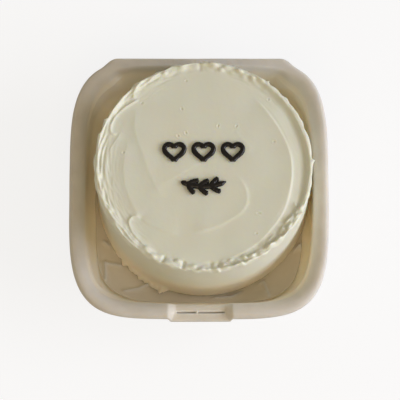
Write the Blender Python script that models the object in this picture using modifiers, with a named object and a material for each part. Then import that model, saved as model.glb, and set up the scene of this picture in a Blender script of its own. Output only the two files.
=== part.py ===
"""A small round cream cake in the base of its moulded-pulp takeaway box.

The cake is 12 cm across and stands on a sheet of greaseproof paper. Its top is spread with a
spatula, which leaves long curved ridges, and the cream pushed outwards stands up as a rim. Hearts
and a leafy sprig are piped on the top. Every piece is at its real size, in metres, with +Z up and
the origin at the middle of the box's flat underside.
"""

import math
import random

import bmesh
import bpy
from mathutils import Vector

MM = 0.001

# Pulp box base: a bulged rounded square with a rolled rim.
RIM_HALF_X = 72.5 * MM
RIM_HALF_Y = 75.5 * MM
RIM_POWER_X = 5.0
RIM_POWER_Y = 4.0
RIM_HEIGHT = 33.0 * MM
PULP_THICKNESS = 1.2 * MM
LIP_WIDTH = 4.2 * MM
FRONT_LIP_EXTRA = 1.4 * MM
WALL_DRAFT = 5.0 * MM
FLOOR_FILLET = 4.0 * MM
FILLET_STEPS = 4
TRAY_COLUMNS = 68

# Lock tab pressed into the front of the rim, with a slit for the lid's tongue.
TAB_CENTRE_X = 0.8 * MM
TAB_HALF_FLAT = 13.4 * MM
TAB_HALF_OPEN = 17.8 * MM
TAB_DROP = 4.0 * MM
TAB_REACH = 1.0 * MM
SLIT_CENTRE_Y = -71.5 * MM
SLIT_WIDTH = 0.9 * MM
SLIT_DEPTH = 4.0 * MM
SLIT_BRIDGE_X = -1.1 * MM
SLIT_BRIDGE_WIDTH = 1.0 * MM

# Straight fold line along the back of the rim.
HINGE_HALF_LENGTH = 46.0 * MM
HINGE_BLEND = 6.0 * MM
HINGE_WIDTH = 4.0 * MM

# Greaseproof paper, flat under the cake and creased upwards in the box's corners.
TOUCH_GAP = 0.3 * MM
PAPER_THICKNESS = 0.4 * MM
PAPER_HALF_X = 58.0 * MM
PAPER_HALF_Y = 59.5 * MM
PAPER_COLUMNS = 72
PAPER_RINGS = (0.30, 0.72, 0.80, 0.87, 0.94, 1.0)
PAPER_CREASES = 17
PAPER_LIFT = 5.5 * MM
PAPER_LIFT_RUN = 12.0 * MM

# Cake.
CAKE_X = 2.5 * MM
CAKE_Y = 5.0 * MM
CAKE_RADIUS = 59.6 * MM
CAKE_BASE = PULP_THICKNESS + 2 * TOUCH_GAP + PAPER_THICKNESS
CAKE_TOP = 56.0 * MM
CAKE_FOOT_ROUND = 1.6 * MM
CAKE_FOOT_FLARE = 0.4 * MM
CAKE_FLARE_HEIGHT = 7.0 * MM
CAKE_SEGMENTS = 96
RIM_CREAM_RADIUS = 58.4 * MM
RIM_CREAM_HALF_WIDTH = 2.6 * MM
RIM_CREAM_HEIGHT = 1.0 * MM
LIP_OVERHANG = 0.9 * MM
CAKE_TOP_RINGS = (7, 15, 21, 26, 31, 35.5, 39.5, 43, 45.5, 47.2, 48.8, 50.4, 52, 53.6, 55, 56.3,
                  57.5, 58.7, 59.6)

# Spatula ridges, each with its start and end bearing in degrees, start and end radius, how fast
# the radius changes at first, height and half width. Lengths are in millimetres.
SPATULA_RIDGES = {
    "outer sweep on the right": (55, -84, 47.3, 53.0, 1.0, 1.3, 1.5),
    "long step from the upper left": (138, 222, 51.0, 28.0, 2.5, 0.7, 2.4),
    "step by the left rim": (158, 195, 49.7, 55.8, 1.0, 0.9, 1.6),
    "inner step on the left": (158, 221, 44.6, 45.2, 1.0, 0.7, 1.8),
    "hook at the upper left": (133, 159, 52.8, 55.6, 1.0, 1.2, 1.4),
    "hook at the lower left": (215, 241, 47.0, 55.8, 3.0, 1.2, 1.4),
    "sweep below the middle": (221, 252, 45.6, 41.0, 1.0, 0.8, 2.0),
    "end of that sweep": (252, 346, 41.0, 19.5, 0.6, 0.8, 2.2),
    "short mark on the right": (50, 16, 27.0, 29.0, 1.0, 0.4, 1.6),
    "mark by the lower right rim": (336, 324, 55.0, 57.8, 1.0, 0.8, 1.4),
    "sharp rim on the right": (64, -32, 59.2, 59.0, 1.0, 1.6, 1.2),
    "second rim on the right": (34, 2, 56.6, 55.8, 1.0, 1.0, 1.2),
    "outer rim strand on the left": (128, 236, 59.3, 56.6, 1.0, 1.2, 1.2),
    "inner rim strand on the left": (148, 214, 56.2, 59.4, 1.0, 1.1, 1.2),
}
RIDGE_END_FADE = 7.0

# Dollops of cream along the rim: their bearings in degrees, and the range of their sizes.
DOLLOP_BEARINGS = (237, 251, 257, 264, 271, 279, 289, 297, 306, 315, 54, 62, 70, 78, 86, 102, 112,
                   3, 334, 154, 163)
DOLLOP_HEIGHTS = (0.6 * MM, 1.3 * MM)
DOLLOP_HALF_WIDTHS = (2.2 * MM, 3.6 * MM)
DOLLOP_REACH = 0.8 * MM

# Piped decoration, lying on the flat middle of the top.
PIPED_RADIUS = 1.3 * MM
PIPED_SINK = 0.35 * MM
PIPED_TIP_SCALE = 0.62
HEART_WIDTH = 11.0 * MM
HEART_SPACING = 16.2 * MM
HEART_ROW_Y = 7.6 * MM
HEART_POINTS = 12
SPRIG_ROW_Y = -10.4 * MM
SPRIG_LENGTH = 25.0 * MM
SPRIG_BOW = 3.0 * MM
SPRIG_POINTS = 11
LEAF_LENGTH = 6.4 * MM
LEAF_PLACES = (0.16, 0.41, 0.66)
LEAF_LEAN = math.radians(58)
LEAF_STEPS = ((0.1, 0.5), (0.4, 0.85), (0.7, 1.0), (0.9, 0.8), (1.0, 0.45))

PULP_COLOUR = (0.72, 0.66, 0.56)
PAPER_COLOUR = (0.66, 0.60, 0.48)
CREAM_COLOUR = (0.86, 0.82, 0.66)
ICING_COLOUR = (0.016, 0.014, 0.012)


def clear_scene():
    """Remove every object, so that the file holds only this model."""
    for old in list(bpy.data.objects):
        bpy.data.objects.remove(old, do_unlink=True)


def make_collection(name):
    """Add a collection to the scene."""
    collection = bpy.data.collections.new(name)
    bpy.context.scene.collection.children.link(collection)
    return collection


def make_material(name, colour, roughness):
    """Principled material of one colour."""
    material = bpy.data.materials.new(name)
    material.use_nodes = True
    shader = material.node_tree.nodes["Principled BSDF"]
    shader.inputs["Base Color"].default_value = (*colour, 1.0)
    shader.inputs["Roughness"].default_value = roughness
    shader.inputs["Metallic"].default_value = 0.0
    return material


def add_object(name, mesh, collection, material=None):
    """Link a mesh as a named object, shaded smooth away from its sharp edges."""
    obj = bpy.data.objects.new(name, mesh)
    collection.objects.link(obj)
    if material is not None:
        mesh.materials.clear()
        mesh.materials.append(material)
    mesh.shade_smooth()
    mesh.set_sharp_from_angle(angle=math.radians(40))
    return obj


def evaluated_mesh(obj):
    """The object's mesh with its modifiers applied."""
    bpy.context.view_layer.update()
    depsgraph = bpy.context.evaluated_depsgraph_get()
    return bpy.data.meshes.new_from_object(obj.evaluated_get(depsgraph), depsgraph=depsgraph)


def smoothstep(value):
    """Ease from 0 to 1, held at both ends."""
    value = min(max(value, 0.0), 1.0)
    return value * value * (3.0 - 2.0 * value)


def outline_point(bearing, half_x, half_y):
    """Point and outward normal of the bulged rounded square at a bearing from its middle."""
    ux = math.cos(bearing)
    uy = math.sin(bearing)
    reach = 0.9 * min(half_x / max(abs(ux), 1e-6), half_y / max(abs(uy), 1e-6))
    for _ in range(20):
        across = (reach * abs(ux) / half_x) ** RIM_POWER_X
        along = (reach * abs(uy) / half_y) ** RIM_POWER_Y
        slope = (RIM_POWER_X * across + RIM_POWER_Y * along) / reach
        reach -= (across + along - 1.0) / slope
    point = Vector((reach * ux, reach * uy))
    normal = Vector((
        math.copysign(RIM_POWER_X * abs(point.x) ** (RIM_POWER_X - 1) / half_x ** RIM_POWER_X, ux),
        math.copysign(RIM_POWER_Y * abs(point.y) ** (RIM_POWER_Y - 1) / half_y ** RIM_POWER_Y, uy)))
    return point, normal.normalized()


def tray_bearings():
    """Even bearings round the rim, and exact ones where the lock tab bends."""
    tab_steps = (-TAB_HALF_OPEN, -TAB_HALF_FLAT, -TAB_HALF_FLAT / 2, 0.0, TAB_HALF_FLAT / 2,
                 TAB_HALF_FLAT, TAB_HALF_OPEN)
    tab = [math.atan2(-RIM_HALF_Y, TAB_CENTRE_X + step) % math.tau for step in tab_steps]
    clearance = math.radians(2.0)
    even = [math.tau * i / TRAY_COLUMNS for i in range(TRAY_COLUMNS)]
    beside = [b for b in even if b < min(tab) - clearance or b > max(tab) + clearance]
    return sorted(beside + tab)


def rolled_lip(width):
    """Section of the rolled rim, from the top of the wall over to the skirt's edge."""
    top = RIM_HEIGHT
    return [(width, top - 2.4 * MM), (width - 0.6 * MM, top - 0.8 * MM),
            (width - 1.7 * MM, top - 0.1 * MM), (1.5 * MM, top - 0.1 * MM),
            (0.35 * MM, top - 1.0 * MM), (0.0, top - 2.6 * MM)]


def tab_lip(width):
    """Section of the lock tab: the wall turns out into a flat ledge that reaches past the rim."""
    ledge = RIM_HEIGHT - TAB_DROP
    return [(width, ledge - 2.0 * MM), (width - 0.45 * MM, ledge - 0.55 * MM),
            (width - 1.4 * MM, ledge), (width - 3.0 * MM, ledge),
            (0.6 * MM - TAB_REACH, ledge), (-TAB_REACH, ledge - 0.5 * MM)]


def hinge_lip():
    """Section of the back fold: the wall turns out into a flat strip."""
    top = RIM_HEIGHT - 0.4 * MM
    return [(HINGE_WIDTH, top - 2.0 * MM), (HINGE_WIDTH - 0.5 * MM, top - 0.5 * MM),
            (HINGE_WIDTH - 1.5 * MM, top), (1.7 * MM, top), (0.8 * MM, top), (0.0, top)]


def mix_sections(first, second, share):
    """Blend two rim sections point by point."""
    return [(a[0] + (b[0] - a[0]) * share, a[1] + (b[1] - a[1]) * share)
            for a, b in zip(first, second)]


def tray_column(bearing):
    """Points of the tray's inner face along one bearing, from the floor out to the rim's edge."""
    point, normal = outline_point(bearing, RIM_HALF_X, RIM_HALF_Y)
    front_share = max(0.0, -normal.y) ** 2
    width = LIP_WIDTH + FRONT_LIP_EXTRA * front_share
    section = rolled_lip(width)

    hinge_share = 0.0
    if point.y > 0:
        hinge_share = 1.0 - smoothstep((abs(point.x) - HINGE_HALF_LENGTH) / HINGE_BLEND)
        section = mix_sections(section, hinge_lip(), hinge_share)
    else:
        from_tab = abs(point.x - TAB_CENTRE_X) - TAB_HALF_FLAT
        tab_share = 1.0 - min(max(from_tab / (TAB_HALF_OPEN - TAB_HALF_FLAT), 0.0), 1.0)
        section = mix_sections(section, tab_lip(width), tab_share)

    foot_inset = width + WALL_DRAFT
    draft_angle = math.atan2(WALL_DRAFT, RIM_HEIGHT - FLOOR_FILLET)
    profile = []
    for step in range(FILLET_STEPS + 1):
        turn = (math.pi / 2 - draft_angle) * step / FILLET_STEPS
        inset = foot_inset + FLOOR_FILLET * (1.0 - math.sin(turn))
        profile.append((inset, PULP_THICKNESS + FLOOR_FILLET * (1.0 - math.cos(turn))))
    profile += section

    straighten = RIM_HALF_Y - point.y
    shares = {len(profile) - 1: 1.0, len(profile) - 2: 0.8, len(profile) - 3: 0.4}
    column = []
    for index, (inset, height) in enumerate(profile):
        place = point - normal * inset
        y = place.y + straighten * hinge_share * shares.get(index, 0.0)
        column.append((place.x, y, height))
    return column


def loft_rings(columns):
    """Open surface from a floor disc out through the rings that the columns' points make."""
    mesh_builder = bmesh.new()
    rings = [[mesh_builder.verts.new(point) for point in ring] for ring in zip(*columns)]
    mesh_builder.faces.new(rings[0])
    for inner, outer in zip(rings, rings[1:]):
        for i in range(len(inner)):
            j = (i + 1) % len(inner)
            mesh_builder.faces.new((inner[i], outer[i], outer[j], inner[j]))
    mesh = bpy.data.meshes.new("surface")
    mesh_builder.to_mesh(mesh)
    mesh_builder.free()
    return mesh


def make_box_cutter(name, size, centre, cutters):
    """Box that only cuts: hidden from render and drawn as wire."""
    bpy.ops.mesh.primitive_cube_add(size=1.0, location=centre)
    cutter = bpy.context.active_object
    cutter.name = name
    for vertex in cutter.data.vertices:
        vertex.co = Vector(a * b for a, b in zip(vertex.co, size))
    for owner in list(cutter.users_collection):
        owner.objects.unlink(cutter)
    cutters.objects.link(cutter)
    cutter.hide_render = True
    cutter.display_type = "WIRE"
    return cutter


def make_tray(collection, cutters, material):
    """Pulp box base: a shell of even thickness, with the slit cut through its lock tab."""
    columns = [tray_column(bearing) for bearing in tray_bearings()]
    tray = add_object("tray", loft_rings(columns), collection, material)
    shell = tray.modifiers.new("pulp thickness", "SOLIDIFY")
    shell.thickness = PULP_THICKNESS
    shell.offset = -1.0
    shell.use_even_offset = True

    left = TAB_CENTRE_X - TAB_HALF_FLAT
    right = TAB_CENTRE_X + TAB_HALF_FLAT
    half_bridge = SLIT_BRIDGE_WIDTH / 2
    spans = {"slit_left": (left, SLIT_BRIDGE_X - half_bridge),
             "slit_right": (SLIT_BRIDGE_X + half_bridge, right)}
    for name, (start, end) in spans.items():
        centre = ((start + end) / 2, SLIT_CENTRE_Y, RIM_HEIGHT - TAB_DROP)
        cutter = make_box_cutter(name, (end - start, SLIT_WIDTH, SLIT_DEPTH), centre, cutters)
        cut = tray.modifiers.new(name, "BOOLEAN")
        cut.operation = "DIFFERENCE"
        cut.solver = "EXACT"
        cut.object = cutter
    return tray


def paper_height(x, y):
    """Height of the paper's underside: flat below the cake, creased up in the corners."""
    from_cake = math.hypot(x - CAKE_X, y - CAKE_Y)
    bearing = math.atan2(y - CAKE_Y, x - CAKE_X)
    lift = smoothstep((from_cake - CAKE_RADIUS - 1.5 * MM) / PAPER_LIFT_RUN)
    crease = 0.55 + 0.30 * math.sin(PAPER_CREASES * bearing) + 0.15 * math.sin(7 * bearing + 1.0)
    return PULP_THICKNESS + TOUCH_GAP + PAPER_LIFT * lift * crease


def make_paper(collection, material):
    """Thin creased sheet, wavy only outside the cake."""
    columns = []
    for i in range(PAPER_COLUMNS):
        edge, _ = outline_point(math.tau * i / PAPER_COLUMNS, PAPER_HALF_X, PAPER_HALF_Y)
        columns.append([(edge.x * share, edge.y * share, paper_height(edge.x * share, edge.y * share))
                        for share in PAPER_RINGS])
    paper = add_object("baking_paper", loft_rings(columns), collection, material)
    sheet = paper.modifiers.new("sheet thickness", "SOLIDIFY")
    sheet.thickness = PAPER_THICKNESS
    sheet.offset = 1.0
    return paper


def cake_profile():
    """Half section of the plain cake, from the middle of its top down to the middle below."""
    profile = [(0.0, CAKE_TOP)]
    for radius in CAKE_TOP_RINGS:
        profile.append((radius * MM, CAKE_TOP))
    profile.append((CAKE_RADIUS + LIP_OVERHANG, CAKE_TOP - 0.9 * MM))
    profile.append((CAKE_RADIUS + 0.7 * LIP_OVERHANG, CAKE_TOP - 2.2 * MM))
    profile.append((CAKE_RADIUS, CAKE_TOP - 3.6 * MM))
    profile.append((CAKE_RADIUS, CAKE_BASE + CAKE_FLARE_HEIGHT))
    for step in range(4):
        turn = math.pi / 2 * step / 3
        radius = CAKE_RADIUS + CAKE_FOOT_FLARE - CAKE_FOOT_ROUND * (1.0 - math.cos(turn))
        profile.append((radius, CAKE_BASE + CAKE_FOOT_ROUND * (1.0 - math.sin(turn))))
    profile.append((0.0, CAKE_BASE))
    return profile


def ridge_height(radius, bearing, ridge):
    """Height that one spatula ridge adds at a place on the top."""
    start, end, start_radius, end_radius, ease, height, half_width = ridge
    span = abs(end - start)
    direction = 1.0 if end > start else -1.0
    along = ((bearing - start) * direction) % 360.0
    if along > span + (360.0 - span) / 2:
        along -= 360.0
    share = min(max(along / span, 0.0), 1.0)
    middle = end_radius + (start_radius - end_radius) * (1.0 - share) ** ease
    inside = smoothstep(along / RIDGE_END_FADE) * smoothstep((span - along) / RIDGE_END_FADE)
    across = (radius / MM - middle) / half_width
    return height * MM * inside * math.exp(-across * across)


def make_dollops():
    """Bearing, height and half width of every dollop on the rim, uneven but repeatable."""
    draw = random.Random(12)
    return [(bearing, draw.uniform(*DOLLOP_HEIGHTS), draw.uniform(*DOLLOP_HALF_WIDTHS))
            for bearing in DOLLOP_BEARINGS]


def dollop_share(bearing, dollop):
    """How much of a dollop stands at a bearing, from 0 to 1."""
    apart = abs((bearing - dollop[0] + 180.0) % 360.0 - 180.0)
    across = math.radians(apart) * RIM_CREAM_RADIUS / dollop[2]
    return math.exp(-across * across)


def make_cake(collection, material):
    """Turned cake whose top and rim are then pushed into ridges and dollops."""
    profile = bpy.data.meshes.new("cake profile")
    points = [(radius, 0.0, height) for radius, height in cake_profile()]
    profile.from_pydata(points, [(i, i + 1) for i in range(len(points) - 1)], [])
    turned = bpy.data.objects.new("cake profile", profile)
    collection.objects.link(turned)
    screw = turned.modifiers.new("turn", "SCREW")
    screw.steps = CAKE_SEGMENTS
    screw.render_steps = CAKE_SEGMENTS
    screw.use_merge_vertices = True
    screw.merge_threshold = 0.01 * MM
    mesh = evaluated_mesh(turned)
    bpy.data.objects.remove(turned, do_unlink=True)

    dollops = make_dollops()
    for vertex in mesh.vertices:
        radius = math.hypot(vertex.co.x, vertex.co.y)
        below_top = CAKE_TOP - vertex.co.z
        if below_top > 3.0 * MM or radius < 1.0 * MM:
            continue
        bearing = math.degrees(math.atan2(vertex.co.y, vertex.co.x)) % 360.0
        ridges = sum(ridge_height(radius, bearing, ridge) for ridge in SPATULA_RIDGES.values())
        from_rim = (radius - RIM_CREAM_RADIUS) / RIM_CREAM_HALF_WIDTH
        on_rim = math.exp(-from_rim * from_rim)
        swell = sum(dollop_share(bearing, dollop) * dollop[1] for dollop in dollops)
        fade = 1.0 - smoothstep(below_top / (3.0 * MM))
        vertex.co.z += fade * (ridges + on_rim * (RIM_CREAM_HEIGHT + swell))
        if below_top > 0.5 * MM:
            push = 1.0 + DOLLOP_REACH * (swell / DOLLOP_HEIGHTS[1]) / radius
            vertex.co.x *= push
            vertex.co.y *= push

    cake = add_object("cake", mesh, collection, material)
    cake.location = (CAKE_X, CAKE_Y, 0.0)
    return cake


def piped_stroke(points, radii, collection):
    """One piped line of icing, as a closed mesh with tapered ends."""
    curve = bpy.data.curves.new("stroke", "CURVE")
    curve.dimensions = "3D"
    curve.bevel_depth = PIPED_RADIUS
    curve.bevel_resolution = 2
    curve.use_fill_caps = True
    line = curve.splines.new("POLY")
    line.points.add(len(points) - 1)
    for slot, point, radius in zip(line.points, points, radii):
        slot.co = (point[0], point[1], 0.0, 1.0)
        slot.radius = radius
    tube = bpy.data.objects.new("stroke", curve)
    collection.objects.link(tube)
    mesh = evaluated_mesh(tube)
    bpy.data.objects.remove(tube, do_unlink=True)

    welded = bmesh.new()
    welded.from_mesh(mesh)
    bmesh.ops.remove_doubles(welded, verts=welded.verts, dist=0.01 * MM)
    bmesh.ops.recalc_face_normals(welded, faces=welded.faces)
    welded.to_mesh(mesh)
    welded.free()
    stroke = bpy.data.objects.new("stroke", mesh)
    collection.objects.link(stroke)
    return stroke


def tapered_radii(count):
    """Full width along a stroke, with a rounder, narrower point at both ends."""
    return [PIPED_TIP_SCALE] + [1.0] * (count - 2) + [PIPED_TIP_SCALE]


def join_strokes(name, strokes, place, collection, material):
    """Union the strokes into one solid and flatten its underside just above the cream."""
    first = strokes[0]
    for other in strokes[1:]:
        union = first.modifiers.new("join", "BOOLEAN")
        union.operation = "UNION"
        union.solver = "EXACT"
        union.object = other
    mesh = evaluated_mesh(first)
    for stroke in strokes:
        bpy.data.objects.remove(stroke, do_unlink=True)
    for vertex in mesh.vertices:
        vertex.co.z = max(vertex.co.z, PIPED_SINK - PIPED_RADIUS)
    motif = add_object(name, mesh, collection, material)
    lift = CAKE_TOP + TOUCH_GAP + PIPED_RADIUS - PIPED_SINK
    motif.location = (CAKE_X + place[0], CAKE_Y + place[1], lift)
    return motif


def heart_point(turn):
    """Point of the usual heart outline, centred, at the heart's width."""
    scale = HEART_WIDTH / 32.0
    x = 16.0 * math.sin(turn) ** 3
    y = 13.0 * math.cos(turn) - 5.0 * math.cos(2 * turn) - 2.0 * math.cos(3 * turn)
    return (x * scale, (y - math.cos(4 * turn) + 2.5) * scale)


def make_heart(name, place, collection, material):
    """Piped heart outline: two strokes from the notch down to the point."""
    strokes = []
    for side in (-1.0, 1.0):
        turns = [side * math.pi * (0.03 + 0.97 * i / (HEART_POINTS - 1)) for i in range(HEART_POINTS)]
        points = [heart_point(turn) for turn in turns]
        strokes.append(piped_stroke(points, tapered_radii(HEART_POINTS), collection))
    return join_strokes(name, strokes, place, collection, material)


def sprig_point(share):
    """Point on the sprig's bowed stem, from its left end to its tip."""
    x = SPRIG_LENGTH * (share - 0.5)
    return (x, SPRIG_BOW * (4.0 * share * (share - 1.0) + 0.5))


def make_sprig(name, place, collection, material):
    """Piped sprig: a bowed stem with a leaf on both sides at each place."""
    stem = [sprig_point(i / (SPRIG_POINTS - 1)) for i in range(SPRIG_POINTS)]
    strokes = [piped_stroke(stem, tapered_radii(SPRIG_POINTS), collection)]
    for share in LEAF_PLACES:
        root = sprig_point(share)
        ahead = sprig_point(share + 0.02)
        heading = math.atan2(ahead[1] - root[1], ahead[0] - root[0])
        for side in (-1.0, 1.0):
            lean = heading + side * LEAF_LEAN
            leaf = [(root[0] + LEAF_LENGTH * reach * math.cos(lean),
                     root[1] + LEAF_LENGTH * reach * math.sin(lean)) for reach, _ in LEAF_STEPS]
            strokes.append(piped_stroke(leaf, [width for _, width in LEAF_STEPS], collection))
    return join_strokes(name, strokes, place, collection, material)


def main():
    clear_scene()
    parts = make_collection("boxed_cream_cake")
    cutters = make_collection("cutters")
    pulp = make_material("moulded pulp", PULP_COLOUR, 0.85)
    paper = make_material("greaseproof paper", PAPER_COLOUR, 0.45)
    cream = make_material("cream", CREAM_COLOUR, 0.5)
    icing = make_material("piped icing", ICING_COLOUR, 0.25)

    make_tray(parts, cutters, pulp)
    make_paper(parts, paper)
    make_cake(parts, cream)
    for name, column in (("left", -1), ("middle", 0), ("right", 1)):
        make_heart("piped_heart_" + name, (column * HEART_SPACING, HEART_ROW_Y), parts, icing)
    make_sprig("piped_sprig", (0.0, SPRIG_ROW_Y), parts, icing)


main()
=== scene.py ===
import math
import random

import bmesh
import bpy
import numpy as np
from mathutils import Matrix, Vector, noise


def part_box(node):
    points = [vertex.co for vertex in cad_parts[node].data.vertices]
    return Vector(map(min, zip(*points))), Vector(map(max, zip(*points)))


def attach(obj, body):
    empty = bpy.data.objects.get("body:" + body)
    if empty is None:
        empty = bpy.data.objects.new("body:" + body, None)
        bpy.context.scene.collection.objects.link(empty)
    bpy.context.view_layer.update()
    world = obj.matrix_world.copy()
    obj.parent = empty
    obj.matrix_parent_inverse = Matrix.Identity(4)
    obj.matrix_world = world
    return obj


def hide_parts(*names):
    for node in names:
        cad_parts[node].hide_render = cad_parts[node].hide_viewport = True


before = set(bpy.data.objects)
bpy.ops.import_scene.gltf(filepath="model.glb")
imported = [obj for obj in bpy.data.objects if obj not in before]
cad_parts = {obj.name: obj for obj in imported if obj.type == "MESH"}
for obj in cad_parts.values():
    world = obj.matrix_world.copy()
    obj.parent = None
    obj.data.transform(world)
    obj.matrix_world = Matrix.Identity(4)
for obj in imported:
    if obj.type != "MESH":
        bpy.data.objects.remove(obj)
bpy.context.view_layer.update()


# The box base is one shell of pressed plant-fibre pulp with slanted walls and a rolled rim.
# It is drawn up ring by ring from a disc on its floor, then given its thickness, and the slit
# of the lock tab is punched last, as the press does it.
MM = 0.001
tray_low, tray_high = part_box("tray")
RIM_POWER_X = 5.0
RIM_POWER_Y = 4.0
RIM_TOP = tray_high[2]
RIM_HALF_X = tray_high[0]
RIM_HALF_Y = tray_high[1]
PULP_THICKNESS = 1.2 * MM
LIP_WIDTH = 4.4 * MM
FRONT_LIP_EXTRA = 1.4 * MM
LIP_ROLL = 2.3 * MM
SHOULDER_WIDTH = 4.4 * MM
SHOULDER_DROP = 8.0 * MM
HINGE_SHOULDER = 2.0 * MM
LIP_STEPS = 26
SKIRT_DROP = 0.6 * MM
OUTLINE_STEPS = 10
SIDE_DRAFT = 5.0 * MM
FRONT_DRAFT = 7.0 * MM
WALL_STEPS = 10
CAKE_X = 2.5 * MM
CAKE_Y = 5.0 * MM
CAKE_RADIUS = 59.6 * MM
BEND_UNDER_CAKE = 4.0 * MM
WIDEST_BEND = 11.0 * MM
FILLET_STEPS = 14
FLOOR_SHARES = (0.35, 0.75)
COLUMN_STEP = math.radians(0.9)
TAB_COLUMN_STEP = math.radians(0.5)
TAB_CENTRE_X = 0.8 * MM
TAB_HALF_FLAT = 13.4 * MM
TAB_HALF_OPEN = 17.8 * MM
TAB_SPLAY = 3.2 * MM
TAB_DROP = 3.9 * MM
TAB_SETBACK = 0.6 * MM
TAB_ROUND = 0.8 * MM
TAB_BEARING_REACH = math.radians(14.5)
TAB_REACH = -tray_low[1] - RIM_HALF_Y
HINGE_HALF_LENGTH = 46.0 * MM
HINGE_BLEND = 10.0 * MM
HINGE_DROP = 0.3 * MM
HINGE_WIDTH = 3.8 * MM
HINGE_ROUND = 0.3 * MM
SLIT_CENTRE_Y = -71.4 * MM
SLIT_WIDTH = 1.3 * MM
SLIT_BURR = 5.0 * MM
SLIT_BURR_WALL = 0.8 * MM
SLIT_SPANS = ((-12.4 * MM, -1.7 * MM), (-0.5 * MM, 14.2 * MM))
PULP_WAVER = 0.16 * MM
WAVERS_ROUND = 4.0
# Painted bounce light: below the rim, the inner faces of the pulp are painted lighter and warmer in
# place of light bounced round inside the box.
PAINTED_BOUNCE_TOP = 22.0 * MM
PAINTED_BOUNCE_FADE = 10.0 * MM
PULP_PALE = (0.70, 0.67, 0.605)
PULP_DULL = (0.66, 0.63, 0.565)
PULP_PAINTED_BOUNCE = (0.88, 0.805, 0.665)


def smoothstep(value):
    """Ease from 0 to 1 and hold at both ends, for a number or an array."""
    held = np.clip(value, 0.0, 1.0)
    return held * held * (3.0 - 2.0 * held)


def ramp(value, start, run):
    """Ease from 0 at the start to 1 a run later."""
    return smoothstep((value - start) / run)


def rim_outline(bearing, half_x, half_y):
    """Point and outward normal of the bulged rounded square at a bearing."""
    ux, uy = math.cos(bearing), math.sin(bearing)
    reach = 0.9 * min(half_x / max(abs(ux), 1e-6), half_y / max(abs(uy), 1e-6))
    for _ in range(OUTLINE_STEPS):
        across = (reach * abs(ux) / half_x) ** RIM_POWER_X
        along = (reach * abs(uy) / half_y) ** RIM_POWER_Y
        reach -= (across + along - 1.0) * reach / (RIM_POWER_X * across + RIM_POWER_Y * along)
    point = Vector((reach * ux, reach * uy))
    normal = Vector((
        math.copysign(RIM_POWER_X * abs(point.x / half_x) ** (RIM_POWER_X - 1) / half_x, ux),
        math.copysign(RIM_POWER_Y * abs(point.y / half_y) ** (RIM_POWER_Y - 1) / half_y, uy)))
    return point, normal.normalized()


def wall_draft(normal):
    """How far the wall leans in towards its foot, which is most at the front."""
    return SIDE_DRAFT + (FRONT_DRAFT - SIDE_DRAFT) * max(0.0, -normal.y)


def lip_width(normal):
    """Width of the rim, which is a little more at the front."""
    return LIP_WIDTH + FRONT_LIP_EXTRA * max(0.0, -normal.y) ** 2


def inner_place(bearing, inset):
    """Point on the outline drawn in by an inset on all sides."""
    return rim_outline(bearing, RIM_HALF_X - inset, RIM_HALF_Y - inset)[0]


def bend_radius(bearing, foot_inset):
    """Bend between wall and floor, as wide as the room beside the cake allows."""
    foot = inner_place(bearing, foot_inset)
    room = math.hypot(foot.x - CAKE_X, foot.y - CAKE_Y) - CAKE_RADIUS
    return min(room + BEND_UNDER_CAKE, WIDEST_BEND)


def rolled_section(width):
    """Rim that swells up from the wall and rolls over to the edge of its skirt."""
    section = []
    for step in range(LIP_STEPS):
        turn = math.pi * step / (LIP_STEPS - 2)
        over = min(turn, math.pi)
        if over < math.pi / 2:
            inset = width / 2 + (width / 2 + SHOULDER_WIDTH) * math.cos(over)
            below = SHOULDER_DROP * (1.0 - math.sin(over))
        else:
            inset = width * (0.5 + 0.5 * math.cos(over))
            below = LIP_ROLL * (1.0 - math.sin(over)) + (SKIRT_DROP if turn > math.pi else 0.0)
        section.append((inset, RIM_TOP - below))
    return section


def ledge_section(width, drop, reach, shoulder, outer_round):
    """Flat ledge that swells up from the wall and is rounded at its outer edge."""
    section = []
    rise_steps = LIP_STEPS // 3
    for step in range(LIP_STEPS):
        if step < rise_steps:
            turn = math.pi / 2 * step / rise_steps
            inset = width + shoulder * math.cos(turn)
            below = drop + (SHOULDER_DROP - drop) * (1.0 - math.sin(turn))
        else:
            share = (step - rise_steps) / (LIP_STEPS - 1 - rise_steps)
            inset = width - (width + reach) * share
            below = drop + max(0.0, 1.0 - (inset + reach) / outer_round) ** 2 * outer_round
        section.append((inset, RIM_TOP - below))
    return section


def blend_sections(first, second, share):
    """Mix two rim sections point by point."""
    return [(a[0] + (b[0] - a[0]) * share, a[1] + (b[1] - a[1]) * share)
            for a, b in zip(first, second)]


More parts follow.
